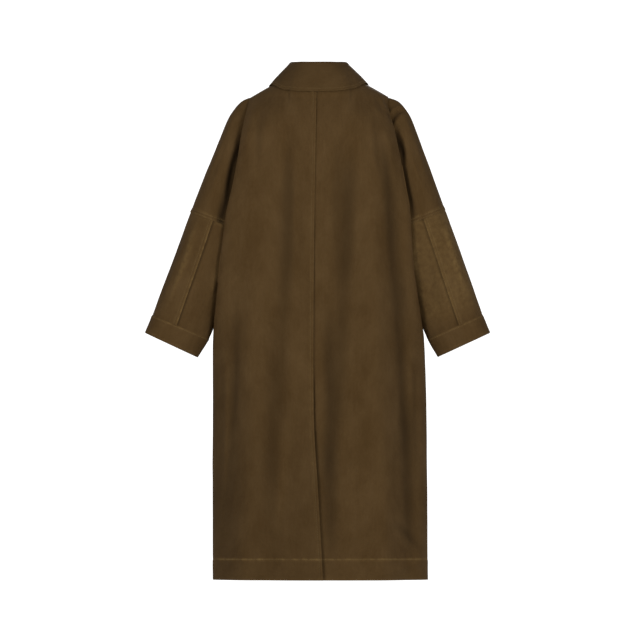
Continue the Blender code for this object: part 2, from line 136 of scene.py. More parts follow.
# Creases given as soft ridges and troughs, from one end to the other. bow bends the middle
# of a crease sideways, and a negative height is a trough.
CREASE_COLUMNS = ("x0", "drop0", "x1", "drop1", "bow", "width", "height")
BACK_CREASES = (
    (140, 40, 178, 96, -4, 5, 2.2),
    (152, 52, 172, 118, 3, 5, -2.4),
    (120, 34, 158, 108, -6, 7, 1.4),
    (150, 110, 182, 300, 6, 9, 2.2),
    (134, 90, 150, 260, -5, 8, -1.6),
    (-150, 60, -176, 200, -8, 10, 1.6),
    (-128, 52, -150, 230, -8, 9, -1.5),
    (-100, 60, -104, 300, 5, 14, 1.5),
    (96, 60, 104, 260, -5, 13, 1.4),
    (-60, 150, -72, 420, 6, 10, 1.2),
    (48, 130, 40, 430, -6, 10, -1.2),
    (-20, 200, -40, 520, -5, 9, 1.2),
    (20, 420, 40, 800, 8, 12, 1.3),
    (-150, 420, -170, 760, -10, 14, 1.6),
    (-205, 520, -214, 880, 6, 9, -1.8),
    (-226, 640, -232, 1010, 4, 7, 1.6),
    (196, 520, 214, 860, 6, 10, 1.7),
    (230, 640, 236, 960, -3, 7, -1.5),
    (-90, 800, -108, 1120, 6, 14, 1.5),
    (60, 820, 70, 1150, -6, 12, 1.3),
    (110, 560, 118, 900, 8, 16, 1.2),
    (160, 1060, 250, 1150, 10, 10, -2.0),
    (170, 1190, 256, 1165, 6, 8, 1.8),
    (-70, 110, -94, 660, 3, 17, -3.2),
    (-96, 540, -120, 1120, -3, 20, -2.4),
    (72, 150, 46, 640, 3, 20, -3.4),
    (42, 520, 20, 1000, 3, 21, -4.2),
    (22, 840, 26, 1190, 0, 20, -3.6),
    (158, 90, 186, 560, 0, 17, -4.0),
    (186, 420, 210, 940, 3, 17, -4.6),
    (208, 760, 220, 1200, 0, 17, -4.0),
    (-226, 560, -232, 1230, 0, 40, -1.8),
    (-40, 150, -38, 560, 3, 17, 2.0),
    (112, 230, 138, 780, 4, 26, 2.6),
    (136, 640, 158, 1180, 3, 30, 2.8),
)
FRONT_CREASES = (
    (-140, 44, -170, 110, 4, 6, 1.8),
    (132, 60, 158, 150, -5, 7, 1.8),
    (-150, 110, -182, 310, -6, 9, 2.0),
    (148, 110, 180, 290, 6, 9, -2.0),
    (-92, 170, -104, 430, 6, 12, 1.5),
    (60, 200, 54, 470, -6, 12, 1.5),
    (-190, 480, -206, 880, -6, 12, 1.8),
    (196, 470, 208, 840, 6, 11, -1.6),
    (-60, 620, -70, 1000, 8, 14, 1.4),
    (96, 600, 110, 980, -8, 14, 1.5),
    (-150, 900, -160, 1180, 6, 12, -1.4),
    (168, 860, 176, 1170, -6, 12, 1.6),
)

CENTRE_BACK = ((17, -8), (400, -14), (792, -15), (1000, -4), (1206, 7))
VENT_DROP = 792.0
VENT_UNDERLAP = 45.0
VENT_STEP = 5.4
FELL_WIDTH = 9.0

# The sewing: short stitches of thick cotton thread.
STITCH_PITCH = 4.0
STITCH_LENGTH = 2.9
STITCH_WIDTH = 0.6
STITCH_RISE = 0.35
THREAD = "#655029"

# The cloth's colours: painted shade in a fold, its dark and light clouds, rubbed cloth that
# also serves as painted highlight, and its shine.
PAINTED_SHADE_BROWN = "#281e13"
WAX_DARK = "#46341e"
WAX_LIGHT = "#534028"
PALE_WEAR_AND_HIGHLIGHT = "#8a7045"
WAX_GLINT = "#d9a860"
# The depth of a fold at which the painted shade fully hides the cloth's own tone.
SHADE_FULL_DEPTH = 7.0

# Rows and columns of a panel: over the shoulder, down the hanging part, read across its face and
# behind it, and kept there. The kept columns crowd a little towards the fold edge.
ROUND_ROWS = 46
HANG_ROWS = 300
FACE_READ, FACE_KEPT = 220, 82
BEHIND_READ, BEHIND_KEPT = 90, 25
EDGE_CROWD = 1.35


def linear(hex_colour):
    """A colour written as sRGB hex, as the linear values that a shader takes."""
    parts = [int(hex_colour[i : i + 2], 16) / 255 for i in (1, 3, 5)]
    parts = [c / 12.92 if c <= 0.04045 else ((c + 0.055) / 1.055) ** 2.4 for c in parts]
    return (*parts, 1.0)


def add_node(tree, kind, settings=(), links=()):
    """Adds a node with its settings, by attribute name or input, and its links, by input."""
    made = tree.nodes.new(kind)
    for name, value in dict(settings).items():
        if isinstance(name, str) and hasattr(made, name):
            setattr(made, name, value)
        else:
            made.inputs[name].default_value = value
    for name, socket in dict(links).items():
        tree.links.new(socket, made.inputs[name])
    return made


def through(x, xs, ys):
    """A smooth curve through the points xs, ys, read at x. It doesn't swing past them."""
    xs, ys = np.asarray(xs, float), np.asarray(ys, float)
    steps = np.abs(np.diff(ys) / np.diff(xs))
    most = 3 * np.minimum(np.append(steps, steps[-1]), np.insert(steps, 0, steps[0]))
    slopes = np.clip(np.gradient(ys, xs), -most, most)
    x = np.clip(x, xs[0], xs[-1])
    i = np.clip(np.searchsorted(xs, x) - 1, 0, len(xs) - 2)
    step = xs[i + 1] - xs[i]
    t = (x - xs[i]) / step
    return (
        (1 + 2 * t) * (1 - t) ** 2 * ys[i]
        + t * (1 - t) ** 2 * step * slopes[i]
        + t * t * (3 - 2 * t) * ys[i + 1]
        + t * t * (t - 1) * step * slopes[i + 1]
    )


def ease(x, start, full):
    """0 before start, 1 after full, and smooth between them."""
    t = np.clip((x - start) / (full - start), 0, 1)
    return t * t * (3 - 2 * t)


def body_size(name, drop):
    """A size of the body's section at a drop."""
    columns = dict(zip(SECTION_COLUMNS, zip(*SECTIONS)))
    return through(drop, columns["drop"], columns[name])


def shoulder_turn(below_top):
    """How far the cloth has turned from the shoulder seam to its hanging face."""
    t = np.clip(1 - below_top / SHOULDER_ROUND, 0, 1)
    return np.sqrt(1 - t * t)


def top_edge(face, x):
    """Drop and depth of a panel's top edge: the neckline, then the shoulder seam."""
    half = np.abs(x)
    inside = np.clip(1 - (half / NECK_HALF_WIDTH) ** 2, 0, 1)
    shoulder = through(half, *zip(*SHOULDER_LINE))
    drop = np.where(half < NECK_HALF_WIDTH, NECK_DROP[face] * inside, shoulder)
    return drop, face * NECK_DEPTH[face] * np.sqrt(inside)


def flutes(face, x, drop):
    """How far the long folds lift the cloth from its plain section."""
    lift = np.zeros(np.broadcast(x, drop).shape)
    for row in FOLDS[face]:
        fold = dict(zip(FOLD_COLUMNS, row))
        line = fold["top_x"] + (fold["hem_x"] - fold["top_x"]) * drop / HEM_DROP
        spread = fold["half_width"] * (0.75 + 0.5 * drop / HEM_DROP)
        bump = np.exp(-(((x - line) / spread) ** 2))
        lift = lift + fold["height"] * bump * ease(drop, fold["start"], fold["full"])
    return lift


def pressed(table, across, down):
    """The lift of a table of creases at places on the cloth."""
    lift = np.zeros(across.shape)
    for row in table:
        size = dict(zip(CREASE_COLUMNS, row))
        start = np.array([size["x0"], size["drop0"]], float)
        way = np.array([size["x1"], size["drop1"]], float) - start
        length = np.hypot(*way)
        way = way / length
        along = ((across - start[0]) * way[0] + (down - start[1]) * way[1]) / length
        aside = (across - start[0]) * way[1] - (down - start[1]) * way[0]
        t = np.clip(along, 0, 1)
        aside = aside - size["bow"] * 4 * t * (1 - t)
        taper = ease(along, -0.05, 0.3) * (1 - ease(along, 0.6, 1.05))
        width = size["width"] * (1.25 - 0.5 * t)
        lift += size["height"] * taper * np.exp(-((aside / width) ** 2))
    return lift


def crumple(across, down, wide, long, seed):
    """Smooth uneven waves of about the given sizes, from -1 to 1."""
    flat = zip((across / wide).ravel(), (down / long).ravel())
    return np.array([noise.noise((a, b, seed)) for a, b in flat]).reshape(across.shape)


def evened(rows, count, crowd=1.0):
    """Rows of points read again at equal steps, or closer together towards their ends."""
    steps = np.linalg.norm(np.diff(rows[..., :3], axis=1), axis=-1)
    reach = np.concatenate([np.zeros((len(rows), 1)), np.cumsum(steps, axis=1)], axis=1)
    wanted = 1 - (1 - np.linspace(0, 1, count)) ** crowd
    out = np.empty((len(rows), count, rows.shape[-1]))
    for r, (row, far) in enumerate(zip(rows, reach)):
        for k in range(rows.shape[-1]):
            out[r, :, k] = np.interp(wanted * far[-1], far, row[:, k])
    return out


def arm_loop(drop):
    """Half depth of the armhole at a drop."""
    middle = (SHOULDER_TIP_DROP + UNDERARM_DROP) / 2
    along = np.clip((middle - drop) / (UNDERARM_DROP - middle), -1, 1)
    return ARMHOLE_HALF_DEPTH * np.sqrt(1 - along**2) * (1 + 0.25 * along)


def return_line(face, side, turn, drop):
    """The cloth that returns behind the fold edge: turn 0 at the edge and 1 inside."""
    angle = turn * math.pi / 2
    edge = body_size("edge", drop) * shoulder_turn(drop - SHOULDER_TIP_DROP)
    inner = np.minimum(arm_loop(drop), 0.9 * edge)
    notch = body_size("notch", drop)
    # A deep notch turns in sharply behind the fold edge, and a shallow one in a round.
    sharp = ease(notch, 4, 34)
    x = body_size(SIDE_NAMES[side], drop)
    x = x - notch * (sharp * np.sin(angle) + (1 - sharp) * (1 - np.cos(angle)))
    return np.stack([side * x, face * (inner + (edge - inner) * np.cos(angle)), -drop], axis=-1)


def body_grid(face, side, first_x):
    """Even points over a body panel. The last value is 0 to 1 on its face and 1 to 2 behind.

    first_x gives where the panel begins at a drop, from the coat's middle towards its side.
    """
    name = SIDE_NAMES[side]
    hang_length = HEM_DROP - SHOULDER_TIP_DROP
    over = SHOULDER_ROUND * (1 - np.cos(np.linspace(0, math.pi / 2, ROUND_ROWS)))
    lower = np.linspace(SHOULDER_ROUND, hang_length, HANG_ROWS)[1:]
    below = np.concatenate([over, lower])[:, None] / hang_length
    centre_drop = NECK_DROP[face] + (HEM_DROP - NECK_DROP[face]) * below
    start = np.arcsin(first_x(centre_drop) / body_size(name, centre_drop))
    turn = start + (math.pi / 2 - start) * np.linspace(0, 1, FACE_READ)
    half = np.sin(turn)
    top, top_y = top_edge(face, body_size(name, SHOULDER_TIP_DROP) * half)
    drop = top + (HEM_DROP - top) * below
    x = side * body_size(name, drop) * half
    edge = body_size("edge", drop)
    deep = body_size(FACE_NAMES[face], drop)
    hang = edge + (deep - edge) * np.abs(np.cos(turn)) ** LENS
    hang = hang + flutes(face, x, drop) * np.clip(1.25 * np.cos(turn), 0, 1) ** 0.5
    y = top_y + (face * hang - top_y) * shoulder_turn(drop - top)
    faced = np.stack([x, y, -drop, np.linspace(0, 1, FACE_READ) + 0 * x], axis=-1)
    shares = np.linspace(0, 1, BEHIND_READ)[1:] + 0 * below
    behind = return_line(face, side, shares, SHOULDER_TIP_DROP + hang_length * below + 0 * shares)
    behind = np.concatenate([behind, 1 + shares[..., None]], axis=-1)
    # One column runs down the fold edge itself, so the coat's outline is clean.
    behind = np.concatenate([faced[:, -1:], behind], axis=1)
    face_part = evened(faced, FACE_KEPT, EDGE_CROWD)
    return np.concatenate([face_part, evened(behind, BEHIND_KEPT)[:, 1:]], axis=1)


def out_of(grid, outward, closed=False):
    """Unit normals of an even grid. outward is 1 where down x across points out."""
    if closed:
        across = np.roll(grid, -1, axis=1) - np.roll(grid, 1, axis=1)
    else:
        across = np.gradient(grid, axis=1)
    cross = np.cross(np.gradient(grid, axis=0), across) * outward
    return cross / np.maximum(np.linalg.norm(cross, axis=-1, keepdims=True), 1e-9)


def lengths(grid, axis):
    """Distances along one axis of a grid, from its start."""
    steps = np.linalg.norm(np.diff(grid, axis=axis), axis=-1)
    return np.concatenate([np.zeros_like(np.take(steps, [0], axis)), np.cumsum(steps, axis)], axis)


def add_object(name, data):
    """Puts a mesh, a lamp or a camera into the scene as an object."""
    made = bpy.data.objects.new(name, data)
    bpy.context.scene.collection.objects.link(made)
    return made


def select_only(piece):
    """Selects one object alone and makes it active, for the operators that follow."""
    bpy.ops.object.select_all(action="DESELECT")
    bpy.context.view_layer.objects.active = piece
    piece.select_set(True)


def cloth_piece(name, outer, wear_and_highlight, outward, closed=False, thick=CLOTH_THICK, begins=0.0,
                pressed_in=0.0):
    """A thin shell of cloth from a grid of points in millimetres, with its UV map, rubbed paling,
    painted highlight and painted shade.

    begins is where each row starts across the cut, so that the grain runs straight down it.
    pressed_in is the lift of its creases and of extra painted shade. Where it is negative,
    painted shade darkens the cloth's colour towards near black.
    """
    rows, columns = outer.shape[:2]
    spans = columns if closed else columns - 1
    r, c = np.meshgrid(np.arange(rows - 1), np.arange(spans), indexing="ij")
    n = (c + 1) % columns
    below = (r + 1) * columns
    quads = np.stack([r * columns + c, below + c, below + n, r * columns + n], -1)
    flat_across = lengths(np.concatenate([outer, outer[:, :1]], axis=1) if closed else outer, 1)
    flat_down = lengths(outer, 0)
    if closed:
        flat_down = np.concatenate([flat_down, flat_down[:, :1]], axis=1)
    corners = [(r, c), (r + 1, c), (r + 1, c + 1), (r, c + 1)]
    flat_across = flat_across + begins
    uv = np.stack([np.stack([flat_across[i, j], flat_down[i, j]], -1) for i, j in corners], -2) * MM
    if outward < 0:
        quads, uv = quads[..., ::-1], uv[..., ::-1, :]
    mesh = bpy.data.meshes.new(name)
    mesh.from_pydata((outer.reshape(-1, 3) * MM).tolist(), [], quads.reshape(-1, 4).tolist())
    mesh.uv_layers.new(name="cloth").data.foreach_set("uv", uv.ravel())
    # The hollow attribute is painted shade: near black in crease troughs and crevices, beside
    # lapped edges, low on the left back and in the cuff puckers. It also darkens the whole collar a
    # little.
    hollow = np.clip(-np.asarray(pressed_in) / SHADE_FULL_DEPTH + np.zeros((rows, columns)), 0, 1)
    for label, values in (("wear_and_highlight", np.clip(wear_and_highlight, 0, 1)), ("hollow", hollow)):
        mesh.attributes.new(label, "FLOAT", "POINT").data.foreach_set("value", values.ravel())
    mesh.materials.append(waxed_cotton)
    piece = add_object(name, mesh)
    select_only(piece)
    wall = piece.modifiers.new("wall", "SOLIDIFY")
    wall.thickness, wall.offset = thick * MM, -1
    bpy.ops.object.modifier_apply(modifier="wall")
    bpy.ops.object.shade_smooth_by_angle(angle=math.radians(55))
    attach(piece, "root")
    return piece


def line_on(grid, outward, field, level, axis, closed=False):
    """Points and normals of the line where a field over the cloth first passes a level."""
    normals = out_of(grid, outward, closed)
    grid, normals, field = (np.moveaxis(a, axis, 0) for a in (grid, normals, field))
    passes = (field[:-1] - level) * (field[1:] - level) <= 0
    i, k = np.argmax(passes, axis=0), np.arange(field.shape[1])
    t = ((level - field[i, k]) / (field[i + 1, k] - field[i, k] + 1e-9))[:, None]
    found = passes.any(axis=0)
    points = grid[i, k] + (grid[i + 1, k] - grid[i, k]) * t
    return points[found], normals[i, k][found]


def sew(name, lines):
    """Rows of short raised stitches along lines of points and normals, as one piece."""
    corners, faces = [], []
    for points, normals in lines:
        far = np.insert(np.cumsum(np.linalg.norm(np.diff(points, axis=0), axis=1)), 0, 0)
        starts = np.arange(0.6, far[-1] - STITCH_LENGTH, STITCH_PITCH)

        def at(values, places):
            return np.stack([np.interp(places, far, column) for column in values.T], -1)

        first, last = at(points, starts), at(points, starts + STITCH_LENGTH)
        up = at(normals, starts)
        up = up / np.linalg.norm(up, axis=1, keepdims=True)
        aside = np.cross(last - first, up)
        aside = aside / np.linalg.norm(aside, axis=1, keepdims=True) * STITCH_WIDTH / 2
        low, high, taper = -0.25 * up, STITCH_RISE * up, (last - first) * 0.12
        block = [first - aside + low, first + aside + low, last + aside + low, last - aside + low,
                 first + taper - aside * 0.6 + high, first + taper + aside * 0.6 + high,
                 last - taper + aside * 0.6 + high, last - taper - aside * 0.6 + high]
        for eight in np.stack(block, axis=1):
            base = len(corners)
            corners.extend((eight * MM).tolist())
            sides = [(i, (i + 1) % 4, (i + 1) % 4 + 4, i + 4) for i in range(4)]
            for face in ((3, 2, 1, 0), (4, 5, 6, 7), *sides):
                faces.append([base + corner for corner in face])
    mesh = bpy.data.meshes.new(name)
    mesh.from_pydata(corners, [], faces)
    mesh.materials.append(cotton_thread)
    threads = add_object(name, mesh)
    select_only(threads)
    bpy.ops.object.mode_set(mode="EDIT")
    bpy.ops.mesh.select_all(action="SELECT")
    bpy.ops.mesh.normals_make_consistent(inside=False)
    bpy.ops.object.mode_set(mode="OBJECT")
    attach(threads, "root")


def near(distance, width):
    """1 on a line and fading out over a width on both sides."""
    return np.exp(-((distance / width) ** 2))


def centre_back(drop):
    """Distance of the centre back seam from the middle, towards the wearer's right."""
    return through(drop, *zip(*CENTRE_BACK))


def on_face(grid):
    """1 on a panel's face, and 0 on the cloth that returns behind its fold edge."""
    return 1 - ease(grid[..., 3], 0.96, 1.06)


def body_relief(grid, creases, seed):
    """Lift and wear of a body panel, and the lift of its creases alone."""
    x, drop = grid[..., 0], -grid[..., 2]
    ridges = pressed(creases, x, drop) * on_face(grid)
    settle = ease(drop, 30, 110)
    # Broad and fine crumpling of the cloth, which starts below the shoulder seam.
    lift = ridges + 1.1 * crumple(x, drop, 62, 190, seed) * settle
    lift += 0.45 * crumple(x, drop, 23, 60, seed + 5) * settle * (0.4 + 0.6 * on_face(grid))
    # The hem: a pressed line of stitches, the puckers they draw and the doubled cloth below them.
    above_hem = HEM_DROP - HEM_DEPTH - drop
    pucker = crumple(x, drop, 10, 44, seed + 9)
    lift += -0.5 * near(above_hem, 2.6) + 1.3 * pucker * near(above_hem, 17)
    lift += 0.35 * ease(-above_hem, 0, 4)
    uneven = 0.8 + 0.6 * pucker + 0.3 * crumple(x, drop, 30, 30, seed + 13)
    wear_and_highlight = 0.5 * near(above_hem, 2.2) * uneven + 0.2 * near(HEM_DROP - drop, 3) * uneven
    return lift, wear_and_highlight, ridges


def finish_panel(face, side, grid, lift, wear_and_highlight, pressed_in):
    """Raises a panel's relief from its grid and makes it the piece for its CAD node."""
    name = f"{FACE_NAMES[face]}_{SIDE_NAMES[side]}"
    outward = -face * side
    base = grid[..., :3]
    shaped = base + out_of(base, outward) * lift[..., None]
    shaped[-1, :, 2] = base[-1, :, 2]
    piece = cloth_piece(name, shaped, wear_and_highlight, outward, begins=side * shaped[:, :1, 0],
                        pressed_in=pressed_in)
    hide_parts(name)
    body_skins.append((shaped, outward))
    hem_line = line_on(shaped, outward, -shaped[..., 2], HEM_DROP - HEM_DEPTH, 0)
    sew(f"{name}_hem_stitches", [hem_line])
    return piece


def new_material(name):
    """A material with nodes, its node tree, and its shader's inputs."""
    made = bpy.data.materials.new(name)
    made.use_nodes = True
    return made, made.node_tree, made.node_tree.nodes["Principled BSDF"].inputs


def mix_colours(tree, share, *ends):
    """A mix of two colours by a share. Each of them is sRGB hex or the socket of a pattern."""
    mix = add_node(tree, "ShaderNodeMix", {"data_type": "RGBA"}, {"Factor": share})
    for name, end in zip("AB", ends):
        if isinstance(end, str):
            mix.inputs[name].default_value = linear(end)
        else:
            tree.links.new(end, mix.inputs[name])
    return mix.outputs["Result"]


# Dense olive-brown cotton with a dry wax finish, cloudy where the wax lies uneven. Painted shade
# makes it almost black in the folds, and it is rubbed to a pale tan where edges and seams chafe.
# The same pale tan is painted highlight on the sleeves' crease ridges and on the right sleeve.
waxed_cotton, tree, shader = new_material("waxed_cotton")
# The UV map is in metres along the cut, so a mapping scale of 1/size gives a pattern that size.
place = add_node(tree, "ShaderNodeUVMap", {"uv_map": "cloth"}).outputs["UV"]


def cloth_noise(wide, long, detail):
    """A noise pattern of the given sizes in metres, across and along the cloth."""
    at = add_node(tree, "ShaderNodeMapping", {"Scale": (1 / wide, 1 / long, 1)}, {"Vector": place})
    made = add_node(tree, "ShaderNodeTexNoise",
                    {"Scale": 1.0, "Detail": detail, "Roughness": 0.62}, {"Vector": at.outputs[0]})
    return made.outputs["Fac"]


clouds = cloth_noise(0.07, 0.12, 6.0)
streaks = cloth_noise(0.007, 0.05, 3.0)
mottle = cloth_noise(0.005, 0.008, 3.0)
grain = cloth_noise(0.0018, 0.0026, 2.0)
rumples = cloth_noise(0.018, 0.05, 3.0)
breaks = cloth_noise(0.012, 0.012, 4.0)
tone = add_node(tree, "ShaderNodeMath", {"operation": "MULTIPLY", 1: 0.70}, {0: clouds})
for pattern, share in ((streaks, 0.12), (mottle, 0.18)):
    tone = add_node(tree, "ShaderNodeMath", {"operation": "MULTIPLY_ADD", 1: share},
                    {0: pattern, 2: tone.outputs[0]})
tone = add_node(tree, "ShaderNodeMapRange", {"From Min": 0.38, "From Max": 0.62},
                {"Value": tone.outputs[0]})
sunk = add_node(tree, "ShaderNodeAttribute", {"attribute_name": "hollow"}).outputs["Fac"]
worn = add_node(tree, "ShaderNodeAttribute", {"attribute_name": "wear_and_highlight"}).outputs["Fac"]
broken = add_node(tree, "ShaderNodeMapRange",
                  {"From Min": 0.32, "From Max": 0.66, "To Min": 0.2, "To Max": 1.0},
                  {"Value": breaks})
pale_share = add_node(tree, "ShaderNodeMath", {"operation": "MULTIPLY", "use_clamp": True},
               {0: worn, 1: broken.outputs[0]})
dyed = mix_colours(tree, tone.outputs[0], WAX_DARK, WAX_LIGHT)
# Painted shade: the hollow attribute mixes the colour towards near black.
waxed = mix_colours(tree, sunk, dyed, PAINTED_SHADE_BROWN)
# Rubbed paling on seams and edges, which on the sleeves also holds painted highlights.
tree.links.new(mix_colours(tree, pale_share.outputs[0], waxed, PALE_WEAR_AND_HIGHLIGHT), shader["Base Color"])
gloss = add_node(tree, "ShaderNodeMapRange", {"To Min": 0.56, "To Max": 0.70}, {"Value": clouds})
tree.links.new(gloss.outputs[0], shader["Roughness"])
shader["Specular IOR Level"].default_value = 0.2
shader["Specular Tint"].default_value = linear(WAX_GLINT)
shader["Sheen Weight"].default_value = 0.22
shader["Sheen Roughness"].default_value = 0.35
shader["Sheen Tint"].default_value = linear(PALE_WEAR_AND_HIGHLIGHT)
weave = add_node(tree, "ShaderNodeBump", {"Strength": 0.25, "Distance": 0.0004}, {"Height": grain})
ripple = add_node(tree, "ShaderNodeBump", {"Strength": 0.5, "Distance": 0.0012},
                  {"Height": rumples, "Normal": weave.outputs[0]})
tree.links.new(ripple.outputs[0], shader["Normal"])

# Dull cotton sewing thread, waxed together with the cloth.
cotton_thread, _, shader = new_material("cotton_thread")
shader["Base Color"].default_value = linear(THREAD)
shader["Roughness"].default_value = 0.8

body_skins = []
TUCKED = 4.0
LOW_LEFT_SHADE = 1.1

# The left panel, whose folded edge lies on top. Painted shade darkens its crease troughs and
# makes it a little darker low down.
grid = body_grid(BACK, LEFT, lambda drop: -centre_back(drop))
lift, wear_and_highlight, ridges = body_relief(grid, BACK_CREASES, 1.0)
drop = -grid[..., 2]
past = centre_back(drop) - grid[..., 0]
seam = crumple(past, drop, 60, 11, 31.0)
lift += 1.1 * (1 - ease(past, FELL_WIDTH - 1, FELL_WIDTH + 4)) + 0.5 * seam * near(past, 16)
lift += 2.2 * ease(drop, VENT_DROP, VENT_DROP + 120) * (1 - ease(past, 0, 60))
wear_and_highlight += (0.16 * near(past, 2.0) + 0.12 * near(past - FELL_WIDTH, 1.6)) * (0.7 + 0.9 * seam)
pressed_in = ridges - LOW_LEFT_SHADE * ease(drop, 650, 1000)
back_left = finish_panel(BACK, LEFT, grid, lift, wear_and_highlight, pressed_in)
shaped, outward = body_skins[0]
sew("centre_back_stitches", [line_on(shaped, outward, past, FELL_WIDTH - 2, 1)])

# The right panel, tucked under at the seam and carried on as the vent's underlap.
grid = body_grid(
    BACK, RIGHT,
    lambda drop: centre_back(drop) - TUCKED
    - (VENT_UNDERLAP - TUCKED) * ease(drop, VENT_DROP, VENT_DROP + 60),
)
drop = -grid[..., 2]
past = grid[..., 0] - centre_back(drop)
grid[..., 1] += VENT_STEP * ease(drop, VENT_DROP - 110, VENT_DROP - 8) * (1 - ease(past, 3, 50))
lift, wear_and_highlight, ridges = body_relief(grid, BACK_CREASES, 2.0)
seam = crumple(past, drop, 60, 13, 37.0)
lift += -1.3 * (1 - ease(past, -1, 5)) + 0.5 * seam * near(past - 6, 14)
# Painted shade darkens its crease troughs, and a painted shadow runs along the edge that laps
# over it.
pressed_in = ridges - 2.8 * near(past - 1, 1.8)
back_right = finish_panel(BACK, RIGHT, grid, lift, wear_and_highlight, pressed_in)

# ==== Front: two plain panels ===================================================================
# The wearer's right front laps 19 mm past the middle over the left. The fronts are out of sight
# in the photo, so they are plain, with a stitched facing line and the same hem.
FRONT_OVERLAP = 19.0
FRONT_STEP = 4.8
FACING_WIDTH = 62.0

for side, name in SIDE_NAMES.items():
    grid = body_grid(FRONT, side, lambda drop: -FRONT_OVERLAP + 0 * drop)
    lift, wear_and_highlight, ridges = body_relief(grid, FRONT_CREASES, 3.0 + side)
    x = grid[..., 0]
    past = side * x + FRONT_OVERLAP
    if side == RIGHT:
        grid[..., 1] += FRONT_STEP * (1 - ease(x, FRONT_OVERLAP + 3, 3.2 * FRONT_OVERLAP))
    seam = crumple(past, -grid[..., 2], 60, 14, 41.0 + side)
    facing = past - FACING_WIDTH
    lift += -0.4 * near(facing, 2.4) + 0.5 * seam * near(facing, 14)
    wear_and_highlight += (0.16 * near(facing, 1.8) + 0.2 * near(past, 2.2)) * (0.7 + 0.6 * seam)
    # Painted shade darkens the troughs of its creases.
    panel = finish_panel(FRONT, side, grid, lift, wear_and_highlight, ridges)

# ==== Dropped shoulders: the upper sleeves ======================================================
# Cut in one with the body on the real coat: the cloth runs on from the shoulder, turns under in a
# deep fold beside the body, and ends in a felled seam level with the elbow.
RING_COLUMNS = ("outer_x", "outer_drop", "inner_x", "inner_drop", "depth", "fullness")
DROP_SHOULDER = {
    LEFT: (
        (171, 50, 142, 362, 30, 0.25),
        (188, 59, 146, 365, 34, 0.28),
        (206, 78, 149, 369, 38, 0.32),
        (223, 106, 152, 372, 42, 0.34),
        (246, 160, 155, 375, 46, 0.36),
        (275, 232, 158, 378, 50, 0.34),
        (311, 325, 161, 380, 53, 0.30),
    ),
    RIGHT: (
        (167, 50, 131, 362, 30, 0.25),
        (187, 58, 136, 365, 34, 0.28),
        (204, 75, 140, 368, 38, 0.32),
        (220, 102, 144, 371, 42, 0.34),
        (241, 156, 148, 374, 46, 0.36),
        (267, 228, 151, 376, 50, 0.34),
        (301, 320, 154, 378, 53, 0.30),
    ),
}
TUBE_SIDES = 132
TUBE_ROWS = 96
# The first rows of a dropped shoulder follow the armhole's edge, and less and less.
FOLLOW_ROWS = 40
# A mean radius of the sleeve, which turns an angle round it into a distance across the cloth.
SLEEVE_RADIUS = 62.0

# Creases of a sleeve: the x columns hold distances round it from its outer edge towards the back,
# and the drop columns hold distances along it from the first ring.
SHOULDER_CREASES = {
    LEFT: (
        (30, 20, 24, 250, 6, 8, 1.8),
        (72, 6, 84, 150, 0, 12, -8.5),
        (84, 70, 100, 250, 0, 12, -7.0),
        (46, 50, 52, 230, 5, 9, 2.0),
        (10, 40, 6, 200, -4, 7, -1.2),
        (-40, 40, -36, 260, 6, 10, 1.8),
        (-90, 50, -80, 250, -6, 9, -2.0),
    ),
    RIGHT: (
        (60, 4, 8, 38, 2, 5, 4.6),
        (66, 12, 16, 50, 2, 5, -5.0),
        (62, 26, 24, 60, -2, 5, 3.2),
        (66, 26, 70, 96, 2, 9, -7.5),
        (84, 50, 92, 190, 3, 10, -6.0),
        (50, 20, 56, 200, 6, 8, 2.0),
        (24, 30, 30, 240, -6, 9, -1.8),
        (76, 120, 66, 290, 6, 9, 2.2),
        (-40, 40, -44, 240, 6, 10, 1.8),
        (-84, 50, -76, 250, -6, 9, -2.0),
    ),
}


def ring(side, row, angles):
    """One section of the sleeve, from its outer edge round by the back."""
    size = dict(zip(RING_COLUMNS, row))
    outer = np.array([side * size["outer_x"], 0, -size["outer_drop"]])
    inner = np.array([side * size["inner_x"], 0, -size["inner_drop"]])
    middle, reach = (outer + inner) / 2, (outer - inner) / 2
    cos, sin = np.cos(angles), np.sin(angles)
    depth = size["depth"] * sin * (1 + size["fullness"] * cos)
    return middle + reach * cos[:, None] + np.array([0, -1.0, 0]) * depth[:, None]


def tube(side, table, angles, rows):
    """Rings read smoothly from a table of sections. angles may differ from row to row."""
    steps = np.arange(len(table))
    shares = np.linspace(0, len(table) - 1, rows)
    read = [through(shares, steps, column) for column in zip(*table)]
    angles = np.broadcast_to(angles, (rows, np.shape(angles)[-1]))
    return np.array([ring(side, row, turn) for row, turn in zip(zip(*read), angles)])


def half_turn(angles):
    """Angles round a sleeve as -pi to pi, with 0 at its outer edge."""
    return (angles + math.pi) % (2 * math.pi) - math.pi


def sleeve_relief(points, angles, creases, seed):
    """Lift of a sleeve, the lift of its creases alone, and the distances along its rows."""
    around = np.broadcast_to(half_turn(angles) * SLEEVE_RADIUS, points.shape[:2])
    along = lengths(points, 0)
    ridges = pressed(creases, around, along)
    lift = ridges + 0.9 * crumple(points[..., 0] + points[..., 1], along, 40, 120, seed)
    lift += 0.4 * crumple(points[..., 0] + points[..., 1], along, 17, 40, seed + 3)
    return lift, ridges, along


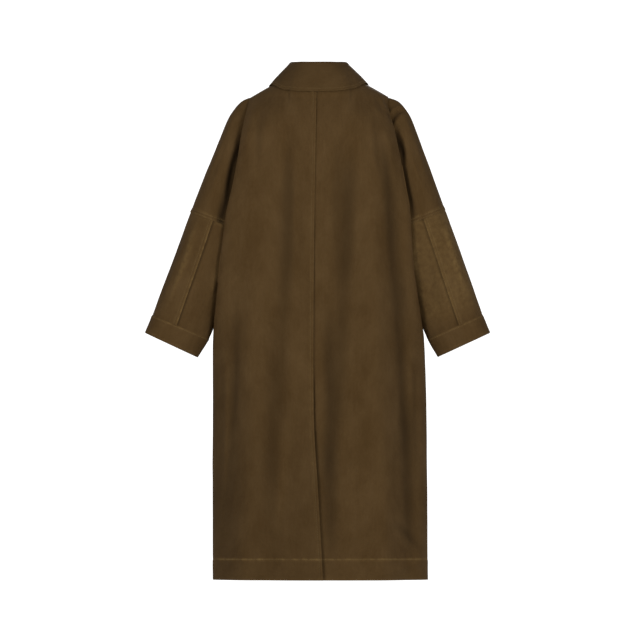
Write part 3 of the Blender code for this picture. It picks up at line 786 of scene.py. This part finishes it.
full_turn = np.linspace(0, 2 * math.pi, TUBE_SIDES, endpoint=False)
for side, name in SIDE_NAMES.items():
    points = tube(side, DROP_SHOULDER[side], full_turn, TUBE_ROWS)
    drop = np.clip(-points[0, :, 2], SHOULDER_TIP_DROP, UNDERARM_DROP)
    face = np.where(points[0, :, 1] <= 0, BACK, FRONT)
    follow = return_line(face, side, np.ones(TUBE_SIDES), drop) - points[0]
    for row in range(FOLLOW_ROWS):
        points[row] += follow * (1 - ease(row, 0, FOLLOW_ROWS))
    creases = SHOULDER_CREASES[side]
    lift, ridges, along = sleeve_relief(points, full_turn, creases, 51.0 + side)
    end = along[-1] - along
    pucker = crumple(points[..., 0], points[..., 1], 10, 10, 57.0 + side)
    lift = lift * ease(np.arange(TUBE_ROWS), 0, 5)[:, None]
    lift += 0.9 * (1 - ease(end, 8, 12)) + 0.6 * pucker * near(end - 10, 12)
    wear_and_highlight = (0.42 * near(end - 10, 1.8) + 0.34 * near(end, 2.4)) * (0.7 + 0.9 * pucker)
    points = points + out_of(points, -side, True) * lift[..., None]
    # Painted shade darkens the troughs of its creases, deepest in the crevice beside the body.
    piece = cloth_piece(f"drop_shoulder_{name}", points, wear_and_highlight, -side, closed=True,
                        pressed_in=ridges)
    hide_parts(f"drop_shoulder_{name}")
    rows_of = [line_on(points, -side, end, from_end, 0, True) for from_end in (9.0, 3.0)]
    sew(f"elbow_stitches_{name}", rows_of)

# ==== Lower sleeves: a top and an under piece each ==============================================
# The top sleeve wraps the arm's outer side. It is felled over the under sleeve at the back and
# the front, and the back seam shows as a raised, rubbed line down to the cuff.
SLEEVE = {
    LEFT: (
        (311, 325, 161, 380, 53, 0.30),
        (340, 405, 195, 462, 52, 0.24),
        (372, 490, 231, 547, 49, 0.18),
        (402, 571, 266, 628, 45, 0.12),
    ),
    RIGHT: (
        (301, 320, 154, 378, 53, 0.30),
        (331, 400, 187, 461, 52, 0.24),
        (361, 487, 222, 548, 49, 0.18),
        (390, 570, 258, 629, 45, 0.12),
    ),
}
# Where the two seams run, in degrees from the sleeve's outer edge, at the elbow and at the cuff,
# and how far the under sleeve is tucked beneath them.
SEAM_TURNS = (74.0, 82.0)
TUCK_TURN = 3.0
# A mean radius at the seams, for distances across them.
SEAM_RADIUS = 58.0
# The right sleeve is painted paler all over as painted light, its seam is rubbed less, and its
# cuff puckers get more painted shade.
SLEEVE_LIT_PALER = {LEFT: 0.0, RIGHT: 0.17}
SEAM_RUB = {LEFT: 0.6, RIGHT: 0.32}
PUCKER_SHADE = {LEFT: 2.5, RIGHT: 5.0}
SLEEVE_CREASES = {
    LEFT: (
        (46, 10, 52, 230, 5, 7, 1.8),
        (20, 20, 30, 240, -6, 9, -1.5),
        (118, 20, 126, 190, 6, 8, 1.6),
        (150, 30, 140, 180, -5, 8, -1.6),
        (-30, 20, -44, 230, 6, 10, 1.6),
        (-110, 30, -104, 200, -6, 9, -1.8),
        (-150, 20, -160, 160, 4, 8, 1.5),
    ),
    RIGHT: (
        (36, 12, 44, 220, 6, 9, 1.6),
        (12, 30, 22, 240, -6, 8, -1.6),
        (112, 40, 150, 215, 8, 7, 2.2),
        (136, 60, 160, 225, -5, 6, -2.2),
        (90, 90, 110, 235, 6, 7, -1.6),
        (-36, 20, -30, 230, 6, 10, 1.6),
        (-104, 30, -116, 200, -6, 9, -1.8),
        (-150, 30, -142, 170, 4, 8, 1.5),
    ),
}
SLEEVE_ROWS = 90

seam_turn = np.radians(np.linspace(*SEAM_TURNS, SLEEVE_ROWS))[:, None]
for side, name in SIDE_NAMES.items():
    for part, columns in (("top", 72), ("under", 84)):
        shares = np.linspace(-1, 1, columns)[None, :]
        if part == "top":
            angles = seam_turn * shares
        else:
            angles = math.pi + (math.pi - seam_turn + math.radians(TUCK_TURN)) * shares
        points = tube(side, SLEEVE[side], angles, SLEEVE_ROWS)
        lift, ridges, along = sleeve_relief(points, angles, SLEEVE_CREASES[side], 61.0 + side)
        end = along[-1] - along
        gap = np.abs(np.abs(half_turn(angles)) - seam_turn) * SEAM_RADIUS
        pucker = crumple(points[..., 2], gap, 12, 30, 67.0 + side)
        lift += 0.5 * pucker * near(gap, 12) - 0.8 * (1 - ease(along, 0, 5))
        lift += 0.6 * crumple(points[..., 0], points[..., 1], 9, 9, 71.0) * near(end, 16)
        # The crease troughs get painted shade, and short dark streaks of painted shade near the
        # cuff stand for the puckers that its sewing gathers.
        gathers = crumple(half_turn(angles) * SLEEVE_RADIUS, end, 5, 26, 73.0 + side)
        pressed_in = ridges - PUCKER_SHADE[side] * np.clip(gathers, 0, 1) * near(end, 11)
        if part == "top":
            lift += 1.3 * (1 - ease(gap, 5, 9))
            wear_and_highlight = SEAM_RUB[side] * near(gap, 2.2) + 0.16 * near(gap - 7, 1.5)
            wear_and_highlight = wear_and_highlight * (0.75 + 0.8 * pucker)
        else:
            lift += -0.6 * (1 - ease(gap, 2, 6))
            wear_and_highlight = 0 * gap
            # Painted shadow: a dark line on the under sleeve beside the seam that laps over it.
            pressed_in = pressed_in - 4.0 * near(gap - 1.5, 2.0)
        # Paler at the edge by the elbow seam, and painted highlights on the crease ridges.
        wear_and_highlight = wear_and_highlight + 0.08 * near(along - 4, 3) + 0.14 * np.clip(ridges, 0, 3)
        # Painted light: the right sleeve is painted paler all over.
        wear_and_highlight = wear_and_highlight + SLEEVE_LIT_PALER[side] * ease(end, 4, 60)
        points = points + out_of(points, -side) * lift[..., None]
        piece = cloth_piece(f"{part}_sleeve_{name}", points, wear_and_highlight, -side, pressed_in=pressed_in)
        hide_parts(f"{part}_sleeve_{name}")
        if part == "top":
            half = columns // 2
            sew(f"sleeve_stitches_{name}", [
                line_on(points[:, cut], -side, gap[:, cut], 6.0, 1)
                for cut in (slice(None, half), slice(half, None))
            ])

# ==== Cuffs =====================================================================================
# A straight band folded double and sewn over the sleeve's end, a little fuller than the sleeve.
# Its seam puckers the cloth, and its lower edge is a soft fold rubbed pale.
CUFF = {
    LEFT: (
        (402, 571, 266, 628, 45.4, 0.12),
        (411, 593, 280, 651, 44.8, 0.11),
        (420, 614, 294, 673, 43, 0.10),
    ),
    RIGHT: (
        (390, 570, 258, 629, 45.4, 0.12),
        (399, 592, 271, 651, 44.8, 0.11),
        (408, 614, 283, 672, 43, 0.10),
    ),
}
CUFF_ROWS = 22
CUFF_THICK = 1.8

for side, name in SIDE_NAMES.items():
    points = tube(side, CUFF[side], full_turn, CUFF_ROWS)
    along = lengths(points, 0)
    end = along[-1] - along
    pucker = crumple(points[..., 0], points[..., 1] + points[..., 2], 11, 11, 81.0 + side)
    lift = 0.9 + 0 * along - 0.9 * near(along, 2.0) + 0.7 * pucker * near(along, 14)
    lift += 0.5 * crumple(points[..., 0], points[..., 2], 30, 20, 83.0 + side)
    lift += -0.8 * near(end, 1.6)
    wear_and_highlight = 0.3 * near(along - 3, 1.8) + 0.12 * near(end - 6, 1.4) + 0.25 * near(end, 1.8)
    wear_and_highlight = wear_and_highlight * (0.75 + 0.8 * pucker)
    points = points + out_of(points, -side, True) * lift[..., None]
    piece = cloth_piece(f"cuff_{name}", points, wear_and_highlight, -side, closed=True, thick=CUFF_THICK)
    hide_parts(f"cuff_{name}")
    sew(f"cuff_stitches_{name}", [line_on(points, -side, along, 4.0, 0, True)])

# ==== Collar ====================================================================================
# A folded shirt collar of doubled cloth. It stands up from the neck seam, rolls over and falls
# on the shoulders, with a line of stitching near its free edge.
COLLAR_COLUMNS = ("share", "roll_drop", "leaf_x", "leaf_y", "leaf_drop")
COLLAR = (
    (0.00, -37, 0, -94, 34),
    (0.18, -37, 56, -84, 31),
    (0.34, -37, 92, -52, 25),
    (0.48, -34, 114, -8, 16),
    (0.64, -14, 118, 44, 40),
    (0.82, 28, 100, 92, 92),
    (1.00, 62, 62, 118, 146),
)
COLLAR_END_DEG = 172.0
COLLAR_INSET = 3.0
# Radius of the roll, height of the leaf over the body's cloth, and distance of its sewn edge.
COLLAR_ROUND = 4.5
COLLAR_CLEAR = 4.2
COLLAR_SEWN = 7.0
COLLAR_THICK = 2.0
# How much darker the whole collar is made, all over.
COLLAR_DARKENING = 1.4
# Half its length round the neck, for the crumpling, and the points round it. Then the points up
# the stand, over the roll and down the fall, the points kept, and the first that is on the fall.
COLLAR_HALF_LENGTH = 300.0
COLLAR_STEPS = 181
STAND_POINTS, ROLL_POINTS, FALL_POINTS, COLLAR_KEPT = 12, 9, 30, 52
FALL_FROM = 22

# A coarse skin over the body's cloth, for the collar and the buttons to lie on.
skin_points, skin_faces = [], []
for grid, outward in body_skins:
    coarse = grid[::3, ::3]
    rows, columns = coarse.shape[:2]
    first = len(skin_points)
    skin_points += [Vector(point) for point in coarse.reshape(-1, 3)]
    for r in range(rows - 1):
        for c in range(columns - 1):
            a = first + r * columns + c
            quad = (a, a + columns, a + columns + 1, a + 1)
            skin_faces.append(quad[::-1] if outward < 0 else quad)
skin = BVHTree.FromPolygons(skin_points, skin_faces)


def laid_on(point, clear, exactly=False):
    """The point moved out of the body's cloth until it is clear of it, or to just that distance."""
    point = Vector(point)
    for _ in range(4):
        spot, way, _, _ = skin.find_nearest(point)
        short = clear - (point - spot).dot(way)
        if short > 0 or exactly:
            point = point + way * short
    return np.array(point)


collar_columns = dict(zip(COLLAR_COLUMNS, zip(*COLLAR)))
rows = []
for share in np.linspace(-1, 1, COLLAR_STEPS):
    roll_drop, leaf_x, leaf_y, leaf_drop = (
        float(through(abs(share), collar_columns["share"], collar_columns[name]))
        for name in COLLAR_COLUMNS[1:]
    )
    side = LEFT if share < 0 else RIGHT
    turn = math.radians(COLLAR_END_DEG) * abs(share)
    face = BACK if turn < math.pi / 2 else FRONT
    seam_point = np.array([
        side * (NECK_HALF_WIDTH - COLLAR_INSET) * math.sin(turn),
        -(NECK_DEPTH[face] - COLLAR_INSET) * math.cos(turn),
        0.5 - NECK_DROP[face] * math.cos(turn) ** 2,
    ])
    # The collar sits a little towards the wearer's left and rolls tighter on the right.
    roll = seam_point * (0.94 if side == LEFT else 0.86, 0.95, 0)
    roll[2] = -roll_drop
    at_back = 1 - ease(abs(share), 0.5, 0.8)
    leaf = laid_on((side * leaf_x - 4.0 * at_back, leaf_y, -leaf_drop), COLLAR_CLEAR, True)
    away = (leaf - roll) * (1, 1, 0)
    away = away / np.linalg.norm(away)
    rise = np.array([0, 0, COLLAR_ROUND])
    arc = np.linspace(0, math.pi, ROLL_POINTS)
    middle = roll + away * COLLAR_ROUND - rise
    over = [middle - away * COLLAR_ROUND * math.cos(a) + rise * math.sin(a) for a in arc]
    up = np.linspace(0, 1, STAND_POINTS)[:-1]
    down = np.linspace(0, 1, FALL_POINTS)[1:]
    stand = [seam_point + (over[0] - seam_point) * t for t in up]
    slack = leaf - over[-1]
    fall = [over[-1] + slack * t + away * 9 * t * (1 - t) for t in down]
    rows.append(np.array([*stand, *over, *fall]))
grid = evened(np.array(rows), COLLAR_KEPT)
# The fall settles on the body's cloth and is smoothed, three times over.
for _ in range(3):
    falls = grid[:, FALL_FROM:]
    for i, j in np.ndindex(falls.shape[:2]):
        falls[i, j] = laid_on(falls[i, j], COLLAR_CLEAR - 0.8)
    smoothed = grid.copy()
    smoothed[1:-1, 1:-1] = (grid[:-2, 1:-1] + grid[2:, 1:-1] + grid[1:-1, :-2] + grid[1:-1, 2:]) / 4
    grid = smoothed
from_edge = lengths(grid[:, ::-1], 1)[:, ::-1]
from_end = np.minimum(lengths(grid, 0), lengths(grid[::-1], 0)[::-1])
around = np.linspace(-1, 1, COLLAR_STEPS)[:, None] * COLLAR_HALF_LENGTH + 0 * from_edge
sewn = from_edge - COLLAR_SEWN
lift = 0.5 * crumple(around, from_edge, 40, 40, 91.0)
lift += 0.3 * crumple(around, from_edge, 12, 20, 93.0) * near(sewn, 9)
lift += -0.4 * near(sewn, 1.6)
wear_and_highlight = 0.10 * near(sewn, 1.5) + 0.16 * near(from_edge, 2.0)
wear_and_highlight += 0.1 * near(from_end - COLLAR_SEWN, 1.5)
wear_and_highlight = wear_and_highlight * (0.7 + 0.5 * crumple(around, from_edge, 25, 25, 95.0))
grid = grid + out_of(grid, -1) * lift[..., None]
collar = cloth_piece("collar", grid, wear_and_highlight, -1, thick=COLLAR_THICK, pressed_in=-COLLAR_DARKENING)
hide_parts("collar")
sew("collar_stitches", [line_on(grid, -1, from_edge, COLLAR_SEWN, 1)])

# ==== Buttons ===================================================================================
# Five polished horn-coloured buttons, turned with a raised rim and drilled with four holes. Each is
# sewn through the front with thread that crosses in its dish.
BUTTON_RADIUS = 11.5
BUTTON_THICK = 4.0
BUTTON_DROPS = (150, 315, 480, 645, 810)
# The raised rim, the wall inside it and the depth of the dish.
RIM_WIDTH = 2.4
DISH_WALL = 0.9
DISH_DEPTH = 1.1
RIM_ROUND = 0.7
HOLE_RADIUS = 0.95
HOLE_OFFSET = 2.7
DRILL_LENGTH = 20.0
THREAD_RADIUS = 0.36
# Each loop of thread by the turn of its pair of holes, and its height as a share of a full ring.
THREAD_LOOPS = ((45, 0.46), (135, 0.60))
HORN_DARK = "#20160d"
HORN_LIGHT = "#3d2a18"

# Polished dark horn: brown veins that wander through an almost black ground.
horn, tree, shader = new_material("polished_horn")
place = add_node(tree, "ShaderNodeTexCoord").outputs["Object"]
veins = add_node(tree, "ShaderNodeTexNoise", {"Scale": 90.0, "Detail": 3.0, "Distortion": 1.2},
                 {"Vector": place})
veined = mix_colours(tree, veins.outputs["Fac"], HORN_DARK, HORN_LIGHT)
tree.links.new(veined, shader["Base Color"])
shader["Roughness"].default_value = 0.42

# One button is turned and drilled, lying on its back at the origin.
bpy.ops.object.select_all(action="DESELECT")
bpy.ops.mesh.primitive_cylinder_add(
    vertices=48, radius=BUTTON_RADIUS * MM, depth=BUTTON_THICK * MM
)
blank = bpy.context.object
bpy.ops.object.mode_set(mode="EDIT")
shape = bmesh.from_edit_mesh(blank.data)
for f in shape.faces:
    f.select_set(f.normal.z > 0.9)
bmesh.update_edit_mesh(blank.data)
bpy.ops.mesh.inset(thickness=RIM_WIDTH * MM, depth=0)
bpy.ops.mesh.inset(thickness=DISH_WALL * MM, depth=-DISH_DEPTH * MM)
bpy.ops.object.mode_set(mode="OBJECT")
rim = blank.modifiers.new("rim", "BEVEL")
rim.width, rim.segments, rim.limit_method = RIM_ROUND * MM, 3, "ANGLE"
bpy.ops.object.modifier_apply(modifier="rim")
for corner in range(4):
    turn = math.radians(45 + 90 * corner)
    at = (HOLE_OFFSET * MM * math.cos(turn), HOLE_OFFSET * MM * math.sin(turn), 0)
    bpy.ops.object.select_all(action="DESELECT")
    bpy.ops.mesh.primitive_cylinder_add(
        vertices=20, radius=HOLE_RADIUS * MM, depth=DRILL_LENGTH * MM, location=at
    )
    drill = bpy.context.object
    select_only(blank)
    hole = blank.modifiers.new("hole", "BOOLEAN")
    hole.operation, hole.object = "DIFFERENCE", drill
    bpy.ops.object.modifier_apply(modifier="hole")
    bpy.data.objects.remove(drill)
bpy.ops.object.shade_smooth_by_angle(angle=math.radians(40))
blank.data.materials.append(horn)

# Its thread runs through both pairs of holes, and the second pass lies over the first.
bpy.ops.object.select_all(action="DESELECT")
loops = []
for turn, height in THREAD_LOOPS:
    bpy.ops.mesh.primitive_torus_add(
        major_radius=HOLE_OFFSET * MM, minor_radius=THREAD_RADIUS * MM,
        major_segments=32, minor_segments=8, rotation=(math.pi / 2, 0, math.radians(turn)),
    )
    loops.append(bpy.context.object)
    bpy.ops.object.transform_apply(location=False, rotation=True, scale=False)
    loops[-1].scale.z = height
    bpy.ops.object.transform_apply(location=False, rotation=False, scale=True)
    bpy.ops.object.shade_smooth()
crossed, second = loops
select_only(crossed)
second.select_set(True)
bpy.ops.object.join()
crossed.data.materials.append(cotton_thread)

for index, drop in enumerate(BUTTON_DROPS, start=1):
    low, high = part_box(f"button_{index}")
    _, way, _, _ = skin.ray_cast(Vector((0, 1000, -drop)), Vector((0, -1, 0)))
    for pattern, name in ((blank, f"button_{index}"), (crossed, f"button_thread_{index}")):
        placed = add_object(name, pattern.data.copy())
        placed.rotation_euler = way.to_track_quat("Z", "Y").to_euler()
        placed.location = (Vector(low) + Vector(high)) / 2
        select_only(placed)
        bpy.ops.object.transform_apply(location=True, rotation=True, scale=True)
        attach(placed, "root")
        if pattern is blank:
            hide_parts(name)
bpy.data.objects.remove(blank)
bpy.data.objects.remove(crossed)

# ==== Studio: a pale floor, soft light and the camera ===========================================
# The coat is photographed from behind against white. The floor lies below the hem. Sizes and
# places in this section are metres.
WHITE = "#ffffff"
FLOOR_WHITE = "#f2f2f2"
FLOOR_PLACE, FLOOR_SIZE = (0, -2.4, -1.40), (8.0, 6.0, 1)
PAPER_PLACE, PAPER_SIZE = (0, 34.0, -0.58), (4.4, 4.4, 1)
SKY_STRENGTH = 0.26
LIT_POINT = (0, 0, -0.6)
# Each lamp's name and place, the width of its square and its watts.
LAMPS = (
    ("key", (2.6, -4.0, 0.8), 1.4, 92),
    ("fill", (-2.8, -3.8, 0.8), 1.4, 80),
    ("front", (0.6, 6.0, 2.6), 1.4, 110),
)
# The camera stands far off, where the hem stays straight, and sees this width at the coat.
CAMERA_PLACE = (0, -30.0, -0.583)
FRAME_WIDE = 1.536
SENSOR_WIDE = 36.0


def studio_sheet(name, place, size, turn, material):
    """A flat sheet of the studio's own."""
    bpy.ops.object.select_all(action="DESELECT")
    bpy.ops.mesh.primitive_plane_add(size=1.0, location=place, rotation=(turn, 0, 0))
    made = bpy.context.object
    made.name, made.scale = name, size
    made.data.materials.append(material)
    made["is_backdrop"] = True


# Matt off-white studio floor paint.
floor_paint, _, shader = new_material("floor_paint")
shader["Base Color"].default_value = linear(FLOOR_WHITE)
shader["Roughness"].default_value = 0.9
studio_sheet("floor", FLOOR_PLACE, FLOOR_SIZE, 0, floor_paint)

# White background paper, lit evenly from its own lamps, which is why it glows here. It hangs far
# behind the coat, so that no view of its front is blocked.
lit_paper, _, shader = new_material("lit_paper")
shader["Base Color"].default_value = linear(WHITE)
shader["Emission Color"].default_value = linear(WHITE)
shader["Emission Strength"].default_value = 1.0
studio_sheet("paper_roll", PAPER_PLACE, PAPER_SIZE, math.pi / 2, lit_paper)

bpy.context.scene.view_settings.view_transform = "Standard"
world = bpy.data.worlds.new("studio")
bpy.context.scene.world = world
world.use_nodes = True
sky = world.node_tree.nodes["Background"].inputs
sky["Color"].default_value = linear(WHITE)
sky["Strength"].default_value = SKY_STRENGTH

for name, at, size, power in LAMPS:
    lamp = bpy.data.lights.new(name, "AREA")
    lamp.size, lamp.energy = size, power
    placed = add_object(name, lamp)
    placed.location = at
    placed.rotation_euler = (Vector(LIT_POINT) - Vector(at)).to_track_quat("-Z", "Y").to_euler()
    placed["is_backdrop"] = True

view = bpy.data.cameras.new("camera")
view.sensor_width = SENSOR_WIDE
view.lens = SENSOR_WIDE * -CAMERA_PLACE[1] / FRAME_WIDE
view.clip_end = 100.0
camera = add_object("camera", view)
camera.location = CAMERA_PLACE
camera.rotation_euler = (math.pi / 2, 0, 0)
bpy.context.scene.camera = camera

low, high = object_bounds()
